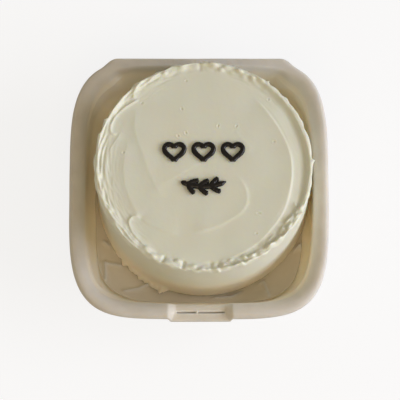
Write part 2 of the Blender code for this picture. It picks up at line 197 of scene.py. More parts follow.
def tray_column(bearing):
    """The inner face along one bearing, from the floor to the edge of the rim."""
    point, normal = rim_outline(bearing, RIM_HALF_X, RIM_HALF_Y)
    width = lip_width(normal)
    section = rolled_section(width)
    hinge_share = 0.0
    if point.y > 0:
        hinge_share = 1.0 - float(ramp(abs(point.x), HINGE_HALF_LENGTH, HINGE_BLEND))
        hinge = ledge_section(HINGE_WIDTH, HINGE_DROP, 0.0, HINGE_SHOULDER, HINGE_ROUND)
        section = blend_sections(section, hinge, hinge_share)
    else:
        tab = ledge_section(width - TAB_SETBACK, TAB_DROP, TAB_REACH, SHOULDER_WIDTH, TAB_ROUND)
        from_middle = abs(point.x - TAB_CENTRE_X)
        for index, ledge_point in enumerate(tab):
            flat = TAB_HALF_FLAT + TAB_SPLAY * (index / (LIP_STEPS - 1)) ** 2
            facet = (TAB_HALF_OPEN - from_middle) / (TAB_HALF_OPEN - flat)
            share = min(max(facet, 0.0), 1.0)
            section[index] = blend_sections([section[index]], [ledge_point], share)[0]

    foot_inset = width + wall_draft(normal)
    bend = bend_radius(bearing, foot_inset)
    wall_lean = math.atan2(wall_draft(normal), RIM_TOP)
    fillet = []
    for step in range(FILLET_STEPS + 1):
        turn = (math.pi / 2 - wall_lean) * step / FILLET_STEPS
        fillet.append((foot_inset + bend * (1.0 - math.sin(turn)),
                       PULP_THICKNESS + bend * (1.0 - math.cos(turn))))
    foot, head = fillet[-1], section[0]
    wall = []
    for step in range(1, WALL_STEPS):
        share = step / WALL_STEPS
        wall.append((foot[0] + (head[0] - foot[0]) * share, foot[1] + (head[1] - foot[1]) * share))

    on_circle = Vector((math.cos(bearing), math.sin(bearing), 0.3))
    waver = PULP_WAVER * noise.noise(on_circle * WAVERS_ROUND)
    rim_start = len(fillet) + len(wall)
    profile = fillet + wall + section
    floor_edge = inner_place(bearing, fillet[0][0])
    column = [Vector((floor_edge.x * share, floor_edge.y * share, PULP_THICKNESS))
              for share in FLOOR_SHARES]
    straighten = (RIM_HALF_Y - point.y) * hinge_share
    for index, (inset, height) in enumerate(profile):
        rim_share = max(0.0, (index - rim_start) / (LIP_STEPS - 1))
        if rim_share > 0.0:
            place = point - normal * (inset + waver * rim_share)
        else:
            place = inner_place(bearing, inset)
        lifted = height + waver * rim_share
        column.append(Vector((place.x, place.y + straighten * rim_share ** 2, lifted)))
    return column


def draw_up_shell(columns):
    """Grow an open shell from a disc: each ring is extruded from the last and put in its place."""
    shell = bmesh.new()
    ring = bmesh.ops.create_circle(shell, cap_ends=True, segments=len(columns), radius=1.0)["verts"]
    for vert, column in zip(ring, columns):
        vert.co = column[0]
    for level in range(1, len(columns[0])):
        edge_loop = [edge for edge in shell.edges if edge.is_boundary]
        grown = bmesh.ops.extrude_edge_only(shell, edges=edge_loop)["geom"]
        fresh = {item for item in grown if isinstance(item, bmesh.types.BMVert)}
        ring = [next(edge.other_vert(vert) for edge in vert.link_edges
                     if edge.other_vert(vert) in fresh) for vert in ring]
        for vert, column in zip(ring, columns):
            vert.co = column[level]
    bmesh.ops.recalc_face_normals(shell, faces=shell.faces)
    shell.normal_update()
    shell.faces.ensure_lookup_table()
    if shell.faces[0].normal.z < 0:
        bmesh.ops.reverse_faces(shell, faces=shell.faces)
    return shell


def object_from_bmesh(name, builder):
    """Turn a bmesh into a named, smooth object at the origin."""
    mesh = bpy.data.meshes.new(name)
    builder.to_mesh(mesh)
    builder.free()
    mesh.shade_smooth()
    obj = bpy.data.objects.new(name, mesh)
    bpy.context.scene.collection.objects.link(obj)
    return obj


def apply_modifiers(obj):
    """Replace the object's mesh by the one its modifiers make."""
    depsgraph = bpy.context.evaluated_depsgraph_get()
    finished = bpy.data.meshes.new_from_object(obj.evaluated_get(depsgraph), depsgraph=depsgraph)
    finished.materials.clear()
    obj.modifiers.clear()
    obj.data = finished


def mesh_coordinates(mesh):
    """Every vertex's place, as an array with one row each."""
    flat = np.empty(len(mesh.vertices) * 3)
    mesh.vertices.foreach_get("co", flat)
    return flat.reshape(-1, 3)


def store_attribute(mesh, name, values):
    """Write one number for each vertex, for the material to read."""
    layer = mesh.attributes.new(name, "FLOAT", "POINT")
    layer.data.foreach_set("value", np.asarray(values, dtype=np.float32))


class MaterialBench:
    """A node material being put together round its Principled shader."""

    def __init__(self, name, roughness, **sockets):
        self.material = bpy.data.materials.new(name)
        self.material.use_nodes = True
        self.nodes = self.material.node_tree.nodes
        self.links = self.material.node_tree.links
        self.shader = self.nodes["Principled BSDF"]
        self.shader.inputs["Roughness"].default_value = roughness
        for socket, value in sockets.items():
            self.shader.inputs[socket.replace("_", " ")].default_value = value
        self.place = self.nodes.new("ShaderNodeTexCoord").outputs["Object"]

    def grain(self, scale, detail, stretch=(1.0, 1.0, 1.0), roughness=0.5):
        """Noise over the object's own space, optionally stretched."""
        mapping = self.nodes.new("ShaderNodeMapping")
        mapping.inputs["Scale"].default_value = stretch
        self.links.new(self.place, mapping.inputs["Vector"])
        texture = self.nodes.new("ShaderNodeTexNoise")
        texture.inputs["Scale"].default_value = scale
        texture.inputs["Detail"].default_value = detail
        texture.inputs["Roughness"].default_value = roughness
        self.links.new(mapping.outputs["Vector"], texture.inputs["Vector"])
        return texture.outputs["Fac"]

    def read(self, name):
        """A vertex attribute as a factor."""
        attribute = self.nodes.new("ShaderNodeAttribute")
        attribute.attribute_name = name
        return attribute.outputs["Fac"]

    def widen(self, factor, low, high):
        """Stretch the part of a factor between low and high over 0 to 1."""
        stretch = self.nodes.new("ShaderNodeMapRange")
        stretch.inputs["From Min"].default_value = low
        stretch.inputs["From Max"].default_value = high
        self.links.new(factor, stretch.inputs["Value"])
        return stretch.outputs["Result"]

    def mix(self, factor, first, second):
        """Mix two colours, each a colour value or a socket."""
        mixer = self.nodes.new("ShaderNodeMix")
        mixer.data_type = "RGBA"
        self.links.new(factor, mixer.inputs["Factor"])
        for socket, colour in (("A", first), ("B", second)):
            target = next(s for s in mixer.inputs if s.name == socket and s.type == "RGBA")
            if isinstance(colour, tuple):
                target.default_value = (*colour, 1.0)
            else:
                self.links.new(colour, target)
        return next(s for s in mixer.outputs if s.type == "RGBA")

    def colour(self, socket):
        """Give the shader its colour."""
        self.links.new(socket, self.shader.inputs["Base Color"])

    def bump(self, height, distance, strength=1.0):
        """Add a bump layer under those already there."""
        layer = self.nodes.new("ShaderNodeBump")
        layer.inputs["Distance"].default_value = distance
        layer.inputs["Strength"].default_value = strength
        self.links.new(height, layer.inputs["Height"])
        normal = self.shader.inputs["Normal"]
        if normal.is_linked:
            self.links.new(normal.links[0].from_socket, layer.inputs["Normal"])
        self.links.new(layer.outputs["Normal"], normal)


def plain_box(name, low, high):
    """A plain box between two corners, for the press's tools."""
    builder = bmesh.new()
    cube = bmesh.ops.create_cube(builder, size=1.0)
    bmesh.ops.scale(builder, verts=cube["verts"], vec=Vector(high) - Vector(low))
    bmesh.ops.translate(builder, verts=cube["verts"], vec=(Vector(low) + Vector(high)) / 2)
    return object_from_bmesh(name, builder)


bearings = []
bearing = -math.pi / 2 - TAB_BEARING_REACH
while bearing < -math.pi / 2 + TAB_BEARING_REACH:
    bearings.append(bearing)
    bearing += TAB_COLUMN_STEP
while bearing < 1.5 * math.pi - TAB_BEARING_REACH - COLUMN_STEP / 2:
    bearings.append(bearing)
    bearing += COLUMN_STEP

tray = object_from_bmesh("pulp_tray", draw_up_shell([tray_column(b) for b in bearings]))
wall = tray.modifiers.new("pulp thickness", "SOLIDIFY")
wall.thickness = PULP_THICKNESS
wall.offset = -1.0
wall.use_even_offset = True
ledge_top = RIM_TOP - TAB_DROP
burr_reach = SLIT_WIDTH / 2 + SLIT_BURR_WALL
burr = plain_box("slit burr", (SLIT_SPANS[0][0] - SLIT_BURR_WALL, SLIT_CENTRE_Y - burr_reach,
                               ledge_top - SLIT_BURR),
                 (SLIT_SPANS[-1][1] + SLIT_BURR_WALL, SLIT_CENTRE_Y + burr_reach,
                  ledge_top - PULP_THICKNESS / 2))
punches = [(burr, "UNION")]
for start, end in SLIT_SPANS:
    punch = plain_box("slit punch",
                      (start, SLIT_CENTRE_Y - SLIT_WIDTH / 2, ledge_top - 2 * SLIT_BURR),
                      (end, SLIT_CENTRE_Y + SLIT_WIDTH / 2, ledge_top + SLIT_BURR))
    punches.append((punch, "DIFFERENCE"))
for tool, operation in punches:
    press = tray.modifiers.new("press", "BOOLEAN")
    press.operation = operation
    press.solver = "MANIFOLD"
    press.object = tool
apply_modifiers(tray)
for tool, _ in punches:
    bpy.data.objects.remove(tool, do_unlink=True)

# Painted bounce light: below the rim, the faces that look up or inwards are painted a lighter, warmer
# colour, standing in for warm light bounced round inside the box.
places = mesh_coordinates(tray.data)
normals = np.array([vertex.normal for vertex in tray.data.vertices])
outwards = places[:, :2] / np.maximum(np.linalg.norm(places[:, :2], axis=1), 1e-6)[:, None]
faces_in = smoothstep(0.5 + 2.0 * (normals[:, 2] - (normals[:, :2] * outwards).sum(axis=1)))
below_lip = 1.0 - ramp(places[:, 2], PAINTED_BOUNCE_TOP, PAINTED_BOUNCE_FADE)
store_attribute(tray.data, "painted_bounce_light", faces_in * below_lip)

pulp = MaterialBench("pressed pulp", roughness=0.9, Specular_IOR_Level=0.15,
                     Subsurface_Weight=1.0, Subsurface_Radius=(1.0, 0.86, 0.68),
                     Subsurface_Scale=2.0 * MM)
mottle = pulp.widen(pulp.grain(scale=90.0, detail=6.0), low=0.35, high=0.65)
fibres = pulp.grain(scale=700.0, detail=4.0, stretch=(1.0, 0.35, 1.0), roughness=0.65)
plain_pulp = pulp.mix(mottle, PULP_DULL, PULP_PALE)
# The pulp's own mottled colour, mixed towards a painted warm bounce light on the inner faces below
# the rim.
pulp.colour(pulp.mix(pulp.read("painted_bounce_light"), plain_pulp, PULP_PAINTED_BOUNCE))
pulp.bump(fibres, distance=0.12 * MM)
pulp.bump(pulp.grain(scale=160.0, detail=3.0), distance=0.25 * MM)
tray.data.materials.append(pulp.material)
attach(tray, "root")
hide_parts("tray")


# The cake stands on a sheet of greaseproof paper, thin, translucent and stiff. It lies flat under
# the cake, and what sticks out is pushed up into pleats and creases by the box's walls. It is
# drawn from its middle outwards like the box, then folded along its crease lines.
PAPER_BASE = 1.55 * MM
PAPER_SHEET = 0.12 * MM
PAPER_HALF_X = 58.5 * MM
PAPER_HALF_Y = 60.0 * MM
PAPER_COLUMNS = 420
PAPER_RING_SHARES = [0.4, 0.7] + [0.74 + 0.26 * i / 44 for i in range(45)]
PAPER_LIFT = 4.0 * MM
PAPER_LIFT_RUN = 13.0 * MM
PAPER_RAGGEDNESS = 0.012
BEND_CLIMB = 0.97
CRUMPLE_WAVES = 9
CRUMPLE_PITCHES = (5.0, 13.0)
CRUMPLE_LEAST = 0.25
CRUMPLE_GAIN = 0.9
PLEATS = 11.0
HELD_FROM = 0.3
HELD_RUN = 0.55
PAPER_CLEAR = (0.97, 0.90, 0.75)
# Crease lines are painted near white: partly the whitening of creased paper, partly a painted
# highlight of light caught along the folds.
PAPER_CREASE_WHITE_AND_GLINT = (1.0, 1.0, 0.97)
PAPER_CLEARANCE = 0.2 * MM
# Sharp creases as bearings in degrees and distances in millimetres from the cake's middle.
PAPER_CREASES = (
    ((240, 61.2), (236.7, 67.0), (232.5, 72.5)),
    ((301, 61.0), (303.3, 61.4), (301.5, 71.5)),
    ((290, 61.5), (284, 62.8), (276, 61.4)),
    ((326.5, 60.8), (330, 62.2), (334.5, 66.5)),
    ((330, 62.2), (328.5, 67.5)),
    ((207, 63.0), (210.5, 60.8)),
    ((216.5, 69.0), (222.4, 63.0)),
    ((216.5, 69.0), (223, 75.0)),
)
CREASE_HEIGHT = 2.4 * MM
CREASE_HALF_WIDTH = 0.7 * MM
CREASE_RUN = 1.5 * MM
CREASE_START = 0.9 * MM


def from_cake(bearing, radius):
    """Place on the ground plan, in metres, from a bearing in degrees and a radius in millimetres."""
    turn = math.radians(bearing)
    return (CAKE_X + radius * MM * math.cos(turn), CAKE_Y + radius * MM * math.sin(turn))


def distance_to_route(plan, route):
    """Distance from each place to a route of points, where along it, and the nearest place on it."""
    best = np.full(len(plan), np.inf)
    along = np.zeros(len(plan))
    nearest = np.zeros_like(plan)
    spans = len(route) - 1
    for index in range(spans):
        start = route[index]
        step = route[index + 1] - start
        share = np.clip(((plan - start) @ step) / max(step @ step, 1e-18), 0.0, 1.0)
        foot = start + share[:, None] * step
        apart = np.hypot(plan[:, 0] - foot[:, 0], plan[:, 1] - foot[:, 1])
        closer = apart < best
        best[closer] = apart[closer]
        along[closer] = (index + share[closer]) / spans
        nearest[closer] = foot[closer]
    return best, along, nearest


def floor_lift(place, bearing):
    """How far the bend of the box's wall lifts the paper at a place."""
    _, normal = rim_outline(bearing, RIM_HALF_X, RIM_HALF_Y)
    foot_inset = lip_width(normal) + wall_draft(normal)
    bend = bend_radius(bearing, foot_inset)
    flat_edge = inner_place(bearing, foot_inset + bend)
    climbed = min(max((place - flat_edge).dot(normal), 0.0), BEND_CLIMB * bend)
    floor = PULP_THICKNESS + bend - math.sqrt(bend ** 2 - climbed ** 2)
    return max(0.0, floor + PAPER_CLEARANCE - PAPER_BASE)


paper_columns = []
for i in range(PAPER_COLUMNS):
    bearing = math.tau * i / PAPER_COLUMNS
    edge, _ = rim_outline(bearing, PAPER_HALF_X, PAPER_HALF_Y)
    ragged = 1.0 + PAPER_RAGGEDNESS * noise.noise(Vector((edge.x, edge.y, 0.0)) * 60.0)
    column = []
    for share in PAPER_RING_SHARES:
        place = edge * share * ragged
        column.append(Vector((place.x, place.y, PAPER_BASE + floor_lift(place, bearing))))
    paper_columns.append(column)
paper = object_from_bmesh("greaseproof_sheet", draw_up_shell(paper_columns))

places = mesh_coordinates(paper.data)
plan = places[:, :2]
middle = np.array((CAKE_X, CAKE_Y))
beyond = np.linalg.norm(plan - middle, axis=1) - CAKE_RADIUS - CREASE_START
rise = smoothstep(beyond / PAPER_LIFT_RUN)
draw = random.Random(4)
crumple = np.zeros(len(plan))
for wave in range(CRUMPLE_WAVES):
    heading = draw.uniform(0.0, math.pi)
    pitch = draw.uniform(*CRUMPLE_PITCHES) * MM
    phase = (plan[:, 0] * math.cos(heading) + plan[:, 1] * math.sin(heading)) / pitch
    crumple += np.abs((phase + draw.random()) % 2.0 - 1.0)
crumple /= CRUMPLE_WAVES
bearing_from_cake = np.arctan2(plan[:, 1] - CAKE_Y, plan[:, 0] - CAKE_X)
pleats = 0.5 + 0.5 * np.abs((bearing_from_cake * PLEATS / math.pi) % 2.0 - 1.0)
to_edge = (np.abs(plan[:, 0]) / PAPER_HALF_X) ** RIM_POWER_X
to_edge += (np.abs(plan[:, 1]) / PAPER_HALF_Y) ** RIM_POWER_Y
held_down = 1.0 - ramp(to_edge, HELD_FROM, HELD_RUN)
height = PAPER_LIFT * rise * (CRUMPLE_LEAST + CRUMPLE_GAIN * crumple) * pleats * held_down
creased = np.zeros(len(plan))
for crease in PAPER_CREASES:
    route = np.array([from_cake(*point) for point in crease])
    apart, along, _ = distance_to_route(plan, route)
    sharp = np.exp(-apart / CREASE_HALF_WIDTH)
    height += CREASE_HEIGHT * sharp * smoothstep(beyond / CREASE_RUN)
    creased = np.maximum(creased, np.exp(-(apart / CREASE_HALF_WIDTH) ** 2))
places[:, 2] += height
paper.data.vertices.foreach_set("co", places.ravel())
store_attribute(paper.data, "crease", creased * smoothstep(beyond / MM))
sheet = paper.modifiers.new("sheet", "SOLIDIFY")
sheet.thickness = PAPER_SHEET
sheet.offset = 0.0
apply_modifiers(paper)

greaseproof = MaterialBench("greaseproof paper", roughness=0.5, Specular_IOR_Level=0.25, Alpha=0.5)
# The sheet's colour, painted near white along the creases: the paper's own whitening there, and a
# painted highlight of light caught on the folds.
greaseproof.colour(greaseproof.mix(greaseproof.read("crease"), PAPER_CLEAR, PAPER_CREASE_WHITE_AND_GLINT))
greaseproof.bump(greaseproof.grain(scale=220.0, detail=5.0), distance=0.2 * MM)
paper.data.materials.append(greaseproof.material)
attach(paper, "root")
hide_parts("baking_paper")


# The cake is a 12 cm round covered in pale whipped cream. Cream is spread over the top with a
# spatula, whose strokes end in long thin edges, and it is smoothed round the side, which pushes
# a torn, uneven rim up. A grid is wrapped round by its half section and worked like the cream.
CAKE_TOP = 56.0 * MM
CAKE_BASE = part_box("cake")[0][2]
CAKE_SEGMENTS = 600
CREAM_OVERHANG = 0.9 * MM
FOOT_ROUND = 1.6 * MM
FOOT_FLARE = 0.4 * MM
FOOT_STRIP = 4.6 * MM
EDGE_DROP = 2.0 * MM
FINE_RINGS_FROM = 44.0
RUFFLE_REACH = 0.9
BAND_REACH = 0.22
FOOT_LUMPINESS = 0.9
WAVE_HEIGHT = 0.30
CREAM = (0.785, 0.80, 0.67)
CREAM_WARM = (0.785, 0.785, 0.645)
# Painted bounce light: the lower side of the cake is painted warmer and lighter, in place of light
# bounced off the box.
CREAM_PAINTED_BOUNCE = (0.98, 0.86, 0.67)

# Spatula strokes. Each has its points as bearing in degrees and radius in millimetres, the
# height of the edge left on the line, and how far it dies away inside and outside, in mm.
SPATULA_STROKES = {
    "right sweep": (((56, 48.6), (45, 47.4), (26, 47.1), (8, 48.3), (350, 49.2), (330, 50.9),
                     (312, 52.0), (300, 53.2), (288, 54.2), (277, 55.6)), 0.52, 7.0, 0.5),
    "upper left plateau edge": (((136, 52.0), (143, 47.4), (150, 44.0), (159, 38.6), (169, 33.8),
                                 (180, 31.2), (192, 29.3), (206, 28.8), (222, 28.0)),
                                0.50, 14.0, 3.6),
    "inner left crease": (((158, 45.2), (167, 43.6), (179, 44.0), (190, 44.4), (203, 44.6),
                           (214, 45.2), (222, 45.9)), 0.32, 6.0, 2.2),
    "left edge by the rim": (((156, 49.6), (162, 50.6), (171, 52.9), (180, 54.1), (190, 55.4),
                              (198, 56.0)), 0.34, 1.6, 0.6),
    "upper left hook": (((131, 52.6), (136, 53.6), (142, 55.1), (149, 56.5), (155, 56.4),
                         (158.5, 55.2), (159.5, 53.2), (158, 51.2)), 0.80, 0.6, 0.6),
    "lower left hook": (((221.5, 45.8), (218, 46.9), (216.6, 49.3), (218, 52.0), (223, 54.1),
                         (229, 55.0), (235, 55.8), (242, 56.3)), 0.75, 1.0, 0.5),
    "sweep below the middle": (((220, 45.4), (227, 44.7), (233, 43.5), (242, 42.4), (251, 40.8)),
                               0.22, 5.0, 0.9),
    "middle spiral": (((346, 18.6), (336, 23.6), (329, 27.6), (321, 31.0), (313, 32.8),
                       (304, 33.6), (293, 34.0), (281, 35.2), (268, 36.8), (255, 39.6)),
                      0.36, 5.0, 0.8),
    "short mark on the right": (((50, 27.0), (35, 26.7), (17, 29.2)), 0.12, 4.0, 0.8),
    "curl by the lower right rim": (((338, 53.4), (335, 56.4), (330, 57.6), (324, 57.2)),
                                    0.70, 0.9, 0.7),
    "fold at the upper left rim": (((124, 60.0), (129, 58.6), (133, 56.9), (135, 54.6)),
                                   0.80, 1.3, 0.7),
}
STROKE_END_FADE = 0.16
STROKE_SOFTNESS = 0.12

# The torn rim by bearing: crest radius and height, how fast it dies away inwards and outwards,
# all in mm, and how strongly long strands mark it.
RIM_CREST = (
    (3, 58.4, 1.1, 1.6, 2.3, 0.4), (20, 58.2, 1.1, 1.4, 2.6, 0.3), (38, 58.1, 1.3, 1.4, 2.6, 0.3),
    (54, 58.4, 1.7, 1.8, 2.3, 0.4), (64, 58.8, 1.5, 2.2, 1.8, 0.6), (78, 58.8, 1.5, 1.6, 1.7, 0.6),
    (90, 59.2, 1.3, 1.4, 1.7, 0.6), (100, 59.8, 0.9, 1.2, 1.7, 0.7), (112, 59.4, 1.0, 2.0, 1.7, 0.9),
    (126, 59.2, 1.5, 2.4, 1.7, 1.0), (137, 59.5, 1.8, 1.2, 1.7, 1.1), (150, 59.9, 2.0, 1.1, 1.7, 1.1),
    (160, 59.6, 1.9, 1.5, 1.7, 1.2), (172, 59.0, 1.9, 2.6, 1.7, 1.3), (190, 58.8, 1.9, 2.6, 1.7, 1.3),
    (206, 58.4, 1.9, 2.4, 1.7, 1.2), (222, 58.2, 1.7, 2.0, 1.7, 1.1), (238, 58.4, 1.5, 1.6, 1.7, 0.7),
    (252, 59.2, 1.3, 1.3, 1.7, 0.5), (268, 59.4, 1.3, 1.1, 1.7, 0.5), (282, 59.2, 1.3, 1.2, 1.8, 0.5),
    (292, 59.4, 0.8, 1.0, 2.0, 0.4), (314, 59.3, 0.6, 1.0, 2.2, 0.4), (332, 59.2, 0.9, 1.2, 2.2, 0.4),
    (348, 58.8, 1.1, 1.5, 2.1, 0.4),
)
# On the right the cream falls away outside the long stroke: bearing, and the slope there. The
# fall runs from its start in mm for a width, and fades out again by the rim.
RIGHT_FALL = ((0, 0.17), (25, 0.17), (45, 0.12), (60, 0.0), (310, 0.0), (332, 0.1), (348, 0.17))
RIGHT_FALL_START = 49.0
RIGHT_FALL_WIDTH = 7.5
STREAK_LENGTH = 11.0
STREAK_PITCH = 1.7
STREAK_HEIGHT = 0.8
FINE_STREAK_HEIGHT = 0.2
TROUGH_DEPTH = 0.15
TROUGH_OFFSET = 2.6
TROUGH_HALF_WIDTH = 1.2
CREST_DRIFT = 0.8
RIM_WORK_FROM = 42.0

# How torn the cream is behind the crest: bearing, and height of the lumps in mm.
RIM_TEARS = ((10, 0.15), (50, 0.3), (62, 0.7), (92, 0.5), (110, 0.35), (150, 0.15), (200, 0.25),
             (225, 0.5), (245, 0.8), (262, 0.7), (280, 0.9), (300, 1.3), (318, 1.4), (332, 0.8),
             (345, 0.3))
TEAR_LENGTH = 3.2
TEAR_PITCH = 2.4
TEAR_RADIUS = 57.6
TEAR_HALF_BAND = 2.6

# Dollops along the rim: bearing, radius, half length along the rim, half width and height in mm.
RIM_DOLLOPS = (
    (237, 56.4, 2.6, 1.5, 1.0), (241, 58.6, 2.0, 1.2, 0.7), (251, 57.8, 2.6, 1.6, 0.8),
    (255, 56.4, 1.8, 1.2, 1.1), (264, 57.6, 2.2, 1.3, 0.9), (269, 59.2, 1.8, 1.2, 0.8),
    (277, 59.6, 1.6, 1.0, 0.8), (289, 59.6, 2.8, 1.3, 1.0), (297, 58.2, 2.2, 1.5, 0.9),
    (303, 59.3, 2.0, 1.2, 0.7), (308, 58.0, 2.0, 1.4, 0.8), (315, 58.4, 2.2, 1.6, 1.0),
    (322, 59.6, 3.2, 1.4, 0.7), (85, 58.7, 2.2, 1.5, 1.2), (80, 56.6, 1.6, 1.2, 0.9),
    (77, 58.4, 2.2, 1.3, 0.7), (70, 58.8, 2.0, 1.3, 1.0), (62, 58.0, 1.8, 1.1, 1.1),
    (58, 59.6, 3.0, 1.0, 0.7), (102, 58.2, 2.2, 1.3, 0.9), (112, 57.8, 1.6, 1.2, 0.8),
    (147, 59.0, 4.5, 1.3, 0.9), (118, 58.4, 4.0, 1.2, 0.6), (206, 57.0, 2.4, 1.2, 0.6),
)
# Small lumps torn up at the front right, strewn at random between two bearings and two radii.
TORN_LUMPS = 60
TORN_BEARINGS = (280.0, 338.0)
TORN_RADII = (55.6, 60.3)
lump_draw = random.Random(21)
RIM_DOLLOPS += tuple((lump_draw.uniform(*TORN_BEARINGS), lump_draw.uniform(*TORN_RADII),
                      lump_draw.uniform(1.1, 2.6), lump_draw.uniform(0.8, 1.4),
                      lump_draw.uniform(0.35, 1.05)) for _ in range(TORN_LUMPS))
# Cuts where two dollops meet: bearing and depth.
RIM_CUTS = ((247.5, 0.9), (258.7, 0.9), (274.0, 0.5), (92.0, 0.4))
RIM_CUT_HALF_WIDTH = 0.9
# Thin flicks of cream that stand out over the side: bearing, reach and half width in mm.
RIM_FLICKS = ((3.0, 1.3, 0.8), (53.5, 1.5, 0.6), (334.0, 1.0, 1.0), (278.0, 0.6, 0.8),
              (154.0, 1.2, 0.9), (162.5, 0.7, 1.2), (30.0, 0.4, 2.0), (213.0, 0.4, 2.5))
# Burst air bubbles: bearing and radius.
BUBBLES = ((71, 24.7), (129, 22.5), (117, 21.6), (110, 35.3), (101, 50.5), (47, 52.9), (318, 40.1),
           (307, 48.2), (170, 45.0), (133, 50.1), (318.7, 41.0), (52, 29.6), (20, 41.5))
BUBBLE_RADIUS = 0.55
BUBBLE_LIP = 0.16
BUBBLE_PIT = 0.45
# Cream squeezed out at the foot, at the front left: bearing and reach in mm.
FOOT_BULGE = ((208, 0.0), (214, 0.5), (220.5, 1.3), (223.4, 2.8), (225.2, 1.2), (230, 1.4),
              (235.3, 2.0), (237.2, 2.2), (239.2, 1.6), (243, 2.6), (247.1, 3.7), (249.2, 3.2),
              (249.7, 1.6), (251.0, 0.3), (262, 0.1), (300, 0.0))


def cake_half_section():
    """Points from the middle of the top, over the edge and down, to the middle below."""
    section = [(0.0, CAKE_TOP)]
    radii = list(np.arange(1.0, FINE_RINGS_FROM, 0.6)) + list(np.arange(FINE_RINGS_FROM, 60.0, 0.42))
    section += [(radius * MM, CAKE_TOP) for radius in radii]
    for turn in np.linspace(0.35, math.pi, 10):
        reach = CAKE_RADIUS + CREAM_OVERHANG * math.sin(turn) ** 0.8
        section.append((reach, CAKE_TOP - EDGE_DROP * (1.0 - math.cos(turn))))
    section += [(CAKE_RADIUS, height * MM) for height in np.arange(50.0, 8.5, -2.9)]
    for share in np.linspace(0.0, 1.0, 5):
        reach = CAKE_RADIUS + FOOT_FLARE * float(smoothstep(share))
        section.append((reach, CAKE_BASE + FOOT_ROUND + (1.0 - share) * FOOT_STRIP))
    for turn in np.linspace(0.3, math.pi / 2, 5):
        reach = CAKE_RADIUS + FOOT_FLARE - FOOT_ROUND * (1.0 - math.cos(turn))
        section.append((reach, CAKE_BASE + FOOT_ROUND * (1.0 - math.sin(turn))))
    section += [(40.0 * MM, CAKE_BASE), (0.0, CAKE_BASE)]
    return section


def smooth_route(points, samples):
    """A smooth curve through all the points, sampled evenly in each span."""
    padded = [2 * points[0] - points[1]] + list(points) + [2 * points[-1] - points[-2]]
    route = []
    for a, b, c, d in zip(padded, padded[1:], padded[2:], padded[3:]):
        for share in np.linspace(0.0, 1.0, samples, endpoint=False):
            route.append(0.5 * (2 * b + (c - a) * share + (2 * a - 5 * b + 4 * c - d) * share ** 2
                                + (3 * b - a - 3 * c + d) * share ** 3))
    return np.array(route + [points[-1]])


def polar(bearing, radius):
    """Place in mm from the cake's middle."""
    return np.array((radius * math.cos(math.radians(bearing)),
                     radius * math.sin(math.radians(bearing))))


def stroke_relief(plan, stroke):
    """What one spatula stroke does to the height of the cream."""
    points, height, run_in, run_out = stroke
    route = smooth_route([polar(*point) for point in points], 8)
    apart, along, nearest = distance_to_route(plan, route)
    outside = np.linalg.norm(plan, axis=1) > np.linalg.norm(nearest, axis=1)
    run = np.where(outside, run_out, run_in)
    edge = np.exp(-(np.hypot(apart, STROKE_SOFTNESS) - STROKE_SOFTNESS) / run)
    ends = smoothstep(along / STROKE_END_FADE) * smoothstep((1.0 - along) / STROKE_END_FADE)
    return height * edge * ends


def apart_along_rim(bearings_deg, bearing):
    """Distance along the rim from a bearing, in mm."""
    return np.radians((bearings_deg - bearing + 180.0) % 360.0 - 180.0) * CAKE_RADIUS / MM


def streaks(plan, seed, length, pitch):
    """Noise drawn out along the rim: smooth round the cake, close across it."""
    radius = np.linalg.norm(plan, axis=1)
    around = plan / radius[:, None] * (CAKE_RADIUS / MM / length)
    rows = zip(around[:, 0], around[:, 1], radius / pitch + seed)
    return np.fromiter((noise.noise(Vector(row)) for row in rows), float, len(plan))


def mottled(plan, heights, across, upwards):
    """Smooth noise at each place, by its pitch across and upwards in mm."""
    rows = zip(plan[:, 0] / across, plan[:, 1] / across, heights / upwards)
    return np.fromiter((noise.noise(Vector(row)) for row in rows), float, len(plan))


def rim_relief(plan):
    """Height of the torn rim: its crest, its strands, its dollops and the cuts between them."""
    radius = np.linalg.norm(plan, axis=1)
    bearing = np.degrees(np.arctan2(plan[:, 1], plan[:, 0])) % 360.0
    table = np.array(RIM_CREST)
    crest_radius, crest_height, run_in, run_out, strands = (
        np.interp(bearing, table[:, 0], column, period=360.0) for column in table.T[1:])
    drift = streaks(plan / radius[:, None] * 50.0, seed=7.0, length=9.0, pitch=1.0)
    from_crest = radius - crest_radius - CREST_DRIFT * drift
    rise = np.exp(-(np.hypot(from_crest, 0.5) - 0.5) / run_in)
    fall = np.exp(-np.abs(from_crest / run_out) ** 2.2)
    body = np.where(from_crest < 0, rise, fall)
    strand = 1.0 - np.hypot(2.6 * streaks(plan, 3.0, STREAK_LENGTH, STREAK_PITCH), 0.2)
    fine = 1.0 - np.hypot(2.4 * streaks(plan, seed=11.0, length=6.0, pitch=1.1), 0.3)
    lumpy = body ** 0.7
    torn = np.interp(bearing, *np.array(RIM_TEARS).T, period=360.0)
    tears = streaks(plan, 23.0, TEAR_LENGTH, TEAR_PITCH)
    streaked = STREAK_HEIGHT * (strand - 0.5) + FINE_STREAK_HEIGHT * (fine - 0.5)
    relief = body * crest_height + lumpy * strands * streaked
    trough = np.exp(-((from_crest + TROUGH_OFFSET * run_in) / TROUGH_HALF_WIDTH) ** 2)
    relief -= TROUGH_DEPTH * trough * smoothstep((1.0 - strands) / 0.6)
    fall_slope = np.interp(bearing, *np.array(RIGHT_FALL).T, period=360.0)
    fallen = np.clip(radius - RIGHT_FALL_START, 0.0, RIGHT_FALL_WIDTH)
    fallen = fallen * (1.0 - ramp(radius, start=56.0, run=2.4))
    relief -= fall_slope * fallen
    relief += torn * tears * np.exp(-np.abs((radius - TEAR_RADIUS) / TEAR_HALF_BAND) ** 2.5)
    for where, distance, half_length, half_across, height in RIM_DOLLOPS:
        along = apart_along_rim(bearing, where) / half_length
        across = (radius - distance) / half_across
        relief += height * np.exp(-np.abs(along ** 2 + across ** 2) ** 1.6)
    for where, depth in RIM_CUTS:
        along = apart_along_rim(bearing, where) / RIM_CUT_HALF_WIDTH
        relief -= depth * np.exp(-along ** 2) * ramp(radius, start=54.5, run=2.0)
    return relief


